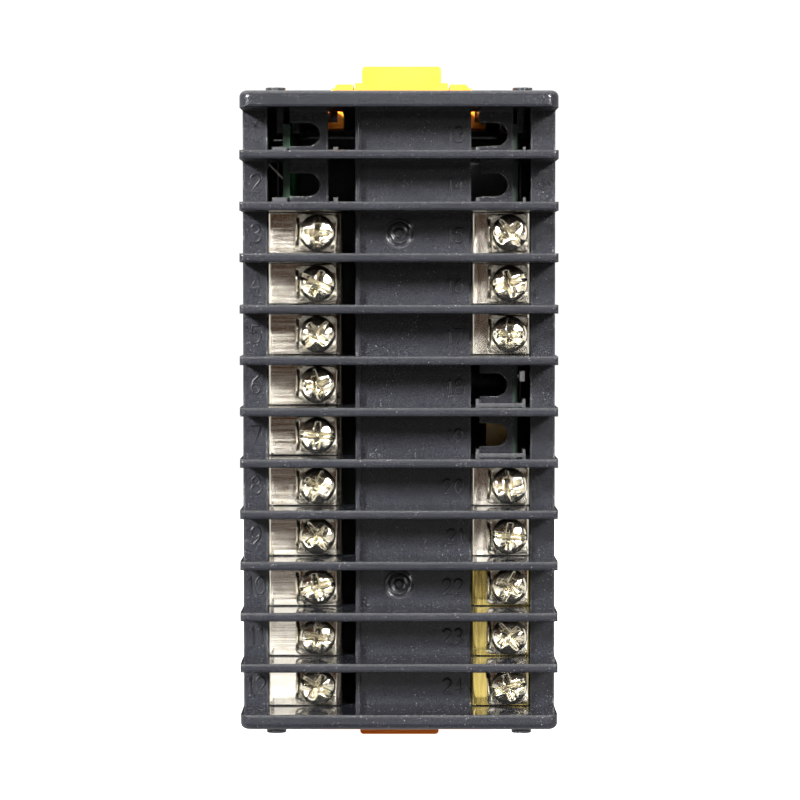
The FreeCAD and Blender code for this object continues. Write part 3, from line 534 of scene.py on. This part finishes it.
# Strokes of each figure, in a box 1 high, from its lower left corner
FIGURES = {
    "0": [arc(0.28, 0.5, 0.28, 0.5, 0, 360)],
    "1": [[(0.06, 0.8), (0.24, 1.0), (0.24, 0.0)]],
    "2": [arc(0.28, 0.72, 0.26, 0.28, 170, -35) + [(0.0, 0.0), (0.56, 0.0)]],
    "3": [arc(0.27, 0.76, 0.24, 0.24, 160, -90) + arc(0.27, 0.26, 0.28, 0.26, 90, -160)],
    "4": [[(0.42, 0.0), (0.42, 1.0), (0.0, 0.3), (0.56, 0.3)]],
    "5": [[(0.52, 1.0), (0.1, 1.0), (0.05, 0.56)] + arc(0.26, 0.32, 0.29, 0.32, 130, -150)],
    "6": [arc(0.28, 0.3, 0.27, 0.3, 90, 450), [(0.02, 0.36), (0.14, 0.72), (0.42, 1.0)]],
    "7": [[(0.0, 1.0), (0.56, 1.0), (0.22, 0.0)]],
    "8": [arc(0.28, 0.76, 0.22, 0.24, 0, 360), arc(0.28, 0.27, 0.28, 0.27, 0, 360)],
    "9": [arc(0.28, 0.7, 0.27, 0.3, -90, 270), [(0.54, 0.64), (0.42, 0.28), (0.14, 0.0)]],
}

# Widths as shares of a figure's height
FIGURE_WIDTH = 0.56
ONE_WIDTH = 0.3
FIGURE_GAP = 0.2


def number_strokes(text, height):
    """Strokes of a number in millimetres from its lower left corner, and its width."""
    strokes, left = [], 0.0
    for figure in text:
        for stroke in FIGURES[figure]:
            strokes.append([((left + x) * height, z * height) for x, z in stroke])
        left += (ONE_WIDTH if figure == "1" else FIGURE_WIDTH) + FIGURE_GAP
    return strokes, (left - FIGURE_GAP) * height


def linked(name, data):
    """A new object in the scene."""
    made = bpy.data.objects.new(name, data)
    bpy.context.scene.collection.objects.link(made)
    return made


def smooth(mesh):
    mesh.polygons.foreach_set("use_smooth", [True] * len(mesh.polygons))


def mesh_piece(bm, name, material):
    """A finished bmesh as a piece, with its faces turned outwards."""
    bmesh.ops.recalc_face_normals(bm, faces=bm.faces)
    mesh = bpy.data.meshes.new(name)
    bm.to_mesh(mesh)
    bm.free()
    mesh.materials.append(material)
    return linked(name, mesh)


def stroke_mesh(name, strokes, radius):
    """Round strokes through points in millimetres, as one mesh."""
    curve = bpy.data.curves.new(name + "_line", "CURVE")
    curve.dimensions = "3D"
    curve.bevel_depth = radius * MM
    curve.bevel_resolution = STROKE_ROUNDING
    curve.use_fill_caps = True
    for points in strokes:
        spline = curve.splines.new("POLY")
        spline.points.add(len(points) - 1)
        for target, point in zip(spline.points, points):
            target.co = (*(Vector(point) * MM), 1.0)
    line = bpy.data.objects.new(name + "_line", curve)
    mesh = bpy.data.meshes.new_from_object(line)
    mesh.name = name
    bpy.data.objects.remove(line)
    smooth(mesh)
    return linked(name, mesh)


def row_z(row):
    return ((ROWS + 1) / 2 - row) * ROW_PITCH


def terminal_numbers():
    """Raised numbers: 1 to 12 on the shoulder, 13 to 24 at the end of the centre panel."""
    strokes = []
    for row in range(1, ROWS + 1):
        lines, width = number_strokes(str(row), SHOULDER_FIGURE)
        left, foot = SHOULDER_MIDDLE_X + width / 2, row_z(row) - SHOULDER_DROP
        strokes += [[(left - u, SHOULDER_Y, foot + v) for u, v in line] for line in lines]
        lines, width = number_strokes(str(row + ROWS), CENTRE_FIGURE)
        left, foot = CENTRE_END_X + width, row_z(row) - CENTRE_DROP
        strokes += [[(left - u, CENTRE_Y, foot + v) for u, v in line] for line in lines]
    made = stroke_mesh("terminal_numbers", strokes, STROKE_RADIUS)
    colour = (0.0055, 0.0058, 0.0072)
    made.data.materials.append(
        plain_material("numbers", colour, 0.36, edge=0.0, Specular_IOR_Level=0.22)
    )
    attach(made, "housing")


def round_angles(sides):
    return [2 * math.pi * i / sides for i in range(sides)]


def groove(offset, half):
    """Depth of a rounded groove, from 1 in its middle to 0 at its edges."""
    return max(0.0, 1 - (offset / half) ** 2)


def head_height(u, v):
    """Height of a screw head over its underside: a rounded dome with a cross and a slot cut in."""
    r = math.hypot(u, v)
    height = HEAD_TOP - HEAD_DOME * (r / HEAD_RADIUS) ** 2
    rim = HEAD_RADIUS - HEAD_ROUND
    if r > rim:
        height -= HEAD_ROUND - math.sqrt(max(0.0, HEAD_ROUND**2 - (r - rim) ** 2))
    taper = max(0.0, 1 - r / CROSS_REACH) ** CROSS_TAPER
    cross = CROSS_DEPTH * taper * max(groove(u, CROSS_HALF), groove(v, CROSS_HALF))
    return height - max(cross, SLOT_DEPTH * groove(v, SLOT_HALF))


def screw_outline():
    """Points of one screw about its axis, ring by ring from the middle of its head to its end."""
    angles = round_angles(SCREW_SIDES)
    rings = []
    for step in range(1, HEAD_RINGS + 1):
        r = HEAD_RADIUS * step / HEAD_RINGS
        flat = [(r * math.cos(a), r * math.sin(a)) for a in angles]
        rings.append([(u, v, head_height(u, v)) for u, v in flat])
    below = [(HEAD_RADIUS, 0.0), (SHANK_RADIUS, 0.0)]
    below += [(SHANK_RADIUS, -SHANK_LENGTH), (SHANK_TIP, -SHANK_LENGTH)]
    for r, h in below:
        rings.append([(r * math.cos(a), r * math.sin(a), h) for a in angles])
    return rings


def placed_rings(bm, rings, x, y, z, turn):
    """Vertices of rings of points about an axis along Y, turned about it."""
    cos, sin = math.cos(turn), math.sin(turn)
    made = []
    for ring in rings:
        spots = [(x + u * cos + v * sin, y + h, z + v * cos - u * sin) for u, v, h in ring]
        made.append([bm.verts.new(Vector(spot) * MM) for spot in spots])
    return made


def band(bm, inner, outer):
    """Faces between two closed rings."""
    for i in range(len(inner)):
        after = (i + 1) % len(inner)
        bm.faces.new((inner[i], outer[i], outer[after], inner[after]))


def finish_set(bm, name, node, material):
    """Smooth piece on the housing that replaces a node."""
    made = mesh_piece(bm, name, material)
    smooth(made.data)
    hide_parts(node)
    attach(made, "housing")


def screws():
    """The terminal screws with rounded recesses, each turned as in the model."""
    bm = bmesh.new()
    rings = screw_outline()
    for side, x, rows in SCREW_COLUMNS:
        for row in rows:
            turn = math.radians((row + side) * SCREW_TURN)
            made = placed_rings(bm, rings, x, HEAD_BASE_Y, row_z(row), turn)
            middle = bm.verts.new(Vector((x, HEAD_BASE_Y + head_height(0, 0), row_z(row))) * MM)
            for i in range(SCREW_SIDES):
                bm.faces.new((middle, made[0][i], made[0][(i + 1) % SCREW_SIDES]))
            for inner, outer in zip(made, made[1:]):
                band(bm, inner, outer)
            bm.faces.new(made[-1])
    plating = nickel_material("screw", (0.84, 0.79, 0.64), finish=(0.07, 0.22), waves=(0.5, 5.0, 0.06))
    finish_set(bm, "screw_set", "terminal_screws", plating)


def washer_edge(angle):
    """Distance from the screw axis to a washer's rounded outline."""
    cos, sin = abs(math.cos(angle)), abs(math.sin(angle))
    wide = WASHER_LONG if math.cos(angle) > 0 else WASHER_HALF
    reach = min(wide / max(cos, TINY), WASHER_HALF / max(sin, TINY))
    corner_u, corner_v = wide - WASHER_CORNER, WASHER_HALF - WASHER_CORNER
    if reach * cos <= corner_u or reach * sin <= corner_v:
        return reach
    along = corner_u * cos + corner_v * sin
    off = corner_u**2 + corner_v**2 - WASHER_CORNER**2
    return along + math.sqrt(max(0.0, along**2 - off))


def washer_height(u, v, inset):
    """Height of a washer's upper face: crowned, rounded at its rim, with one side curled up."""
    across = (math.hypot(u, v) / WASHER_LONG) ** 2
    height = WASHER_THICKNESS - WASHER_CROWN * min(1.0, across)
    if inset < WASHER_RIM:
        height -= WASHER_RIM - math.sqrt(max(0.0, WASHER_RIM**2 - (WASHER_RIM - inset) ** 2))
    curl = math.sqrt(groove(u - LIP_MIDDLE, LIP_HALF))
    ends = max(0.0, 1 - (abs(v) / LIP_LENGTH) ** LIP_SQUARENESS)
    return height + LIP_RISE * curl * ends


def washer_outline():
    """Points of one washer, ring by ring from its hole over the upper face and back below."""
    angles = round_angles(WASHER_SIDES)
    rings = [[(WASHER_HOLE, a, 0.0) for a in angles]]
    for step in range(WASHER_RINGS + 1):
        share = 1 - (1 - step / WASHER_RINGS) ** WASHER_CROWDING
        ring = []
        for a in angles:
            edge = washer_edge(a)
            r = WASHER_HOLE + (edge - WASHER_HOLE) * share
            ring.append((r, a, washer_height(r * math.cos(a), r * math.sin(a), edge - r)))
        rings.append(ring)
    rings.append([(washer_edge(a), a, 0.0) for a in angles])
    return [[(r * math.cos(a), r * math.sin(a), h) for r, a, h in ring] for ring in rings]


def washers():
    """The square washers under the screws, each turned a little as in the model."""
    bm = bmesh.new()
    rings = washer_outline()
    for side, x, rows in SCREW_COLUMNS:
        for row in rows:
            turn = math.radians(WASHER_TURN * math.sin((row + side) * SCREW_TURN))
            made = placed_rings(bm, rings, x, WASHER_Y, row_z(row), turn)
            for inner, outer in zip(made, made[1:] + made[:1]):
                band(bm, inner, outer)
    plating = nickel_material("washer", (0.78, 0.73, 0.61), finish=(0.09, 0.36), waves=(0.6, 3.0, 0.015))
    finish_set(bm, "washer_set", "terminal_washers", plating)


def bar(bm, x, y, z, length, width, upright):
    """One slanted bar of a seven-segment figure, with pointed ends."""
    half, end, side = length / 2, length / 2 - width / 2, width / 2
    outline = [(-half, 0), (-end, side), (end, side), (half, 0), (end, -side), (-end, -side)]
    if upright:
        outline = [(b, a) for a, b in outline]
    faces = []
    for depth in (0.0, BAR_THICKNESS):
        spots = [(x + u + BAR_SLANT * v, y - depth, z + v) for u, v in outline]
        faces.append([bm.verts.new(Vector(spot) * MM) for spot in spots])
        bm.faces.new(faces[-1])
    band(bm, *faces)


def display_segments(node, name, colour):
    """Unlit seven-segment figures on the face of a display module."""
    low, high = box_of(node)
    height = (high.z - low.z) * FIGURE_SHARE
    pitch = (high.x - low.x) / DISPLAY_FIGURES
    middle = (low.z + high.z) / 2
    quarter = height / 4
    length, width = pitch * BAR_LENGTH, height * BAR_WIDTH
    bm = bmesh.new()
    for place in range(DISPLAY_FIGURES):
        x = low.x + (place + FIGURE_MIDDLE) * pitch
        for z in (-2 * quarter, 0, 2 * quarter):
            bar(bm, x + BAR_SLANT * z, low.y, middle + z, length, width, False)
        for side in (-length / 2, length / 2):
            for z in (-quarter, quarter):
                bar(bm, x + side + BAR_SLANT * z, low.y, middle + z, 2 * quarter - BAR_GAP, width, True)
    made = mesh_piece(bm, name, plain_material(name, colour, 0.35))
    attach(made, "housing")


def aim(item, place, target):
    item.location = place
    item.rotation_euler = (target - place).to_track_quat("-Z", "Y").to_euler()


def pale_floor():
    """Floor that reflections and soft light do not see."""
    bpy.ops.mesh.primitive_plane_add(size=1.0, location=(0, FLOOR_MIDDLE_Y, FLOOR_Z))
    floor = bpy.context.object
    floor.name = "floor"
    floor.scale = FLOOR_SIZE
    paper = plain_material(
        "floor", (0.86, 0.86, 0.86), 0.8,
        variation=0.01, size=200.0, relief=0.0, edge=0.0, Emission_Strength=1.0,
    )
    floor.data.materials.append(paper)
    floor.visible_diffuse = False
    floor.visible_glossy = False


def surroundings():
    """White for the camera, and for reflections a studio.

    The studio is a brown room behind the camera, with a bright table and a bright card in it, and
    a white backdrop elsewhere, with a dark patch straight behind the object.
    """
    world = bpy.data.worlds.new("studio")
    bpy.context.scene.world = world
    world.use_nodes = True
    sky = Nodes(world.node_tree)
    towards = sky.parts(sky.node("ShaderNodeTexCoord").outputs["Generated"])
    table = sky.between(towards["Z"], *TABLE_EDGES)
    card = sky.between(towards["Z"], *CARD_EDGES)
    card = sky.product(card, sky.span(sky.math("ABSOLUTE", towards["X"]), *CARD_SIDE))
    room = sky.mix(card, sky.mix(table, ROOM_BROWN, grey(GLOW)), grey(GLOW))
    backdrop = sky.mix(sky.span(towards["Y"], *PATCH_EDGE), grey(1.0), grey(PATCH))
    reflected = sky.nodes["Background"]
    share = sky.span(towards["Y"], *BACKDROP_EDGE)
    sky.feed(reflected.inputs["Color"], sky.mix(share, room, backdrop))
    white = sky.node("ShaderNodeBackground")
    white.inputs["Color"].default_value = grey(1.0)
    white.inputs["Strength"].default_value = WHITE
    seen = sky.node("ShaderNodeLightPath").outputs["Is Camera Ray"]
    choice = sky.node("ShaderNodeMixShader")
    for socket, value in zip(choice.inputs, (seen, reflected.outputs[0], white.outputs[0])):
        sky.feed(socket, value)
    sky.feed(sky.nodes["World Output"].inputs["Surface"], choice.outputs[0])


def lamp(name, place, power):
    """Softbox aimed at the terminals."""
    data = bpy.data.lights.new(name, "AREA")
    data.shape = "DISK"
    data.size = LAMP_SIZE
    data.energy = power
    data.spread = math.radians(LAMP_SPREAD)
    aim(linked(name, data), Vector(place), LIT_POINT)


def camera():
    """The photograph's view: square on the rear, from a little above the middle."""
    data = bpy.data.cameras.new("camera")
    data.sensor_width = SENSOR
    data.lens = LENS
    data.clip_start = NEAREST
    made = linked("camera", data)
    aim(made, CAMERA_PLACE, CAMERA_TARGET)
    bpy.context.scene.camera = made


paint_terminals()
paint_housing()
paint_electronics()
terminal_numbers()
screws()
washers()
display_segments("process_display", "process_segments", colour=(0.09, 0.045, 0.04))
display_segments("setpoint_display", "setpoint_segments", colour=(0.05, 0.08, 0.05))
pale_floor()
surroundings()
lamp("key_left", place=(0.694, 1.116, 0.477), power=1.85)
lamp("key_right", place=(-0.528, 1.300, 0.412), power=0.85)
camera()
bpy.context.scene.view_settings.view_transform = "Standard"
